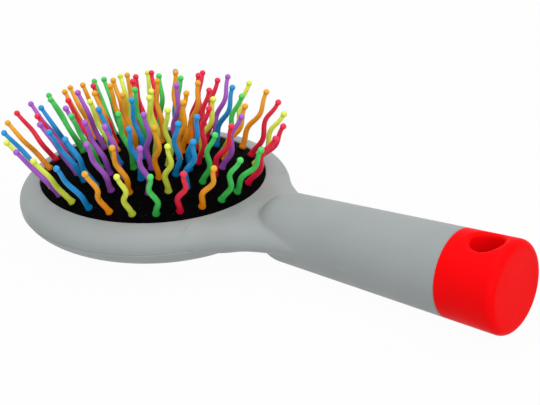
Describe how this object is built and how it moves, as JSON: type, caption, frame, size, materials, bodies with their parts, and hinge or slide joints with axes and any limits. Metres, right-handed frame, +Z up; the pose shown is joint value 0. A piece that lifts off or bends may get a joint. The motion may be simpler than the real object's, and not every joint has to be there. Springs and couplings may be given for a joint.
{
  "type": "cushion hairbrush with mirror",
  "caption": "Oval cushion hairbrush with waved, ball-tipped bristles in mixed colours, a round handle, an end cap with a hanging hole, and a mirror in its back.",
  "frame": {"origin": "middle of the mirror's face, under the middle of the cushion", "axes": "+X along the handle towards its capped end, +Z up out of the cushion, the brush lying on its back"},
  "size_m": [0.1918, 0.0842, 0.0466],
  "materials": {
    "body_grey": "soft-touch satin grey",
    "cap_red": "soft-touch matt red",
    "cushion_black": "matt black, fine grain",
    "ring_black": "as moulded",
    "mirror_silver": "silvered glass",
    "tape_white": "foam tape",
    "bristle_red": "satin",
    "bristle_orange": "satin",
    "bristle_yellow": "satin",
    "bristle_green": "satin",
    "bristle_blue": "satin",
    "bristle_purple": "satin"
  },
  "bodies": {
    "brush_body": {"back_cover": "body_grey", "body_shell": "body_grey", "clamp_ring": "ring_black", "cushion_pad": "cushion_black", "end_cap": "cap_red", "mirror_adhesive": "tape_white", "mirror_glass": "mirror_silver"},
    "bristles_centre": {"bristles_centre_blue": "bristle_blue", "bristles_centre_green": "bristle_green", "bristles_centre_orange": "bristle_orange", "bristles_centre_purple": "bristle_purple", "bristles_centre_red": "bristle_red", "bristles_centre_yellow": "bristle_yellow"},
    "bristles_third": {"bristles_third_blue": "bristle_blue", "bristles_third_green": "bristle_green", "bristles_third_orange": "bristle_orange", "bristles_third_purple": "bristle_purple", "bristles_third_red": "bristle_red", "bristles_third_yellow": "bristle_yellow"},
    "bristles_second": {"bristles_second_blue": "bristle_blue", "bristles_second_green": "bristle_green", "bristles_second_orange": "bristle_orange", "bristles_second_purple": "bristle_purple", "bristles_second_red": "bristle_red", "bristles_second_yellow": "bristle_yellow"},
    "bristles_outer": {"bristles_outer_blue": "bristle_blue", "bristles_outer_green": "bristle_green", "bristles_outer_orange": "bristle_orange", "bristles_outer_purple": "bristle_purple", "bristles_outer_red": "bristle_red", "bristles_outer_yellow": "bristle_yellow"}
  },
  "joints": [
    {"name": "cushion_press", "type": "slide", "parent": "brush_body", "child": "bristles_centre", "axis": [0, 0, -1], "range_m": [0, 0.004], "stiffness_N_per_m": 600, "deforming": ["cushion_pad"]},
    {"name": "third_ring_press", "type": "slide", "parent": "brush_body", "child": "bristles_third", "axis": [0, 0, -1], "range_m": [0, 0.00334], "stiffness_N_per_m": 600},
    {"name": "second_ring_press", "type": "slide", "parent": "brush_body", "child": "bristles_second", "axis": [0, 0, -1], "range_m": [0, 0.00236], "stiffness_N_per_m": 600},
    {"name": "outer_ring_press", "type": "slide", "parent": "brush_body", "child": "bristles_outer", "axis": [0, 0, -1], "range_m": [0, 0.000808], "stiffness_N_per_m": 600}
  ],
  "couplings": [
    {"joint": "third_ring_press", "follows": "cushion_press", "ratio": 0.83},
    {"joint": "second_ring_press", "follows": "cushion_press", "ratio": 0.585},
    {"joint": "outer_ring_press", "follows": "cushion_press", "ratio": 0.197}
  ]
}
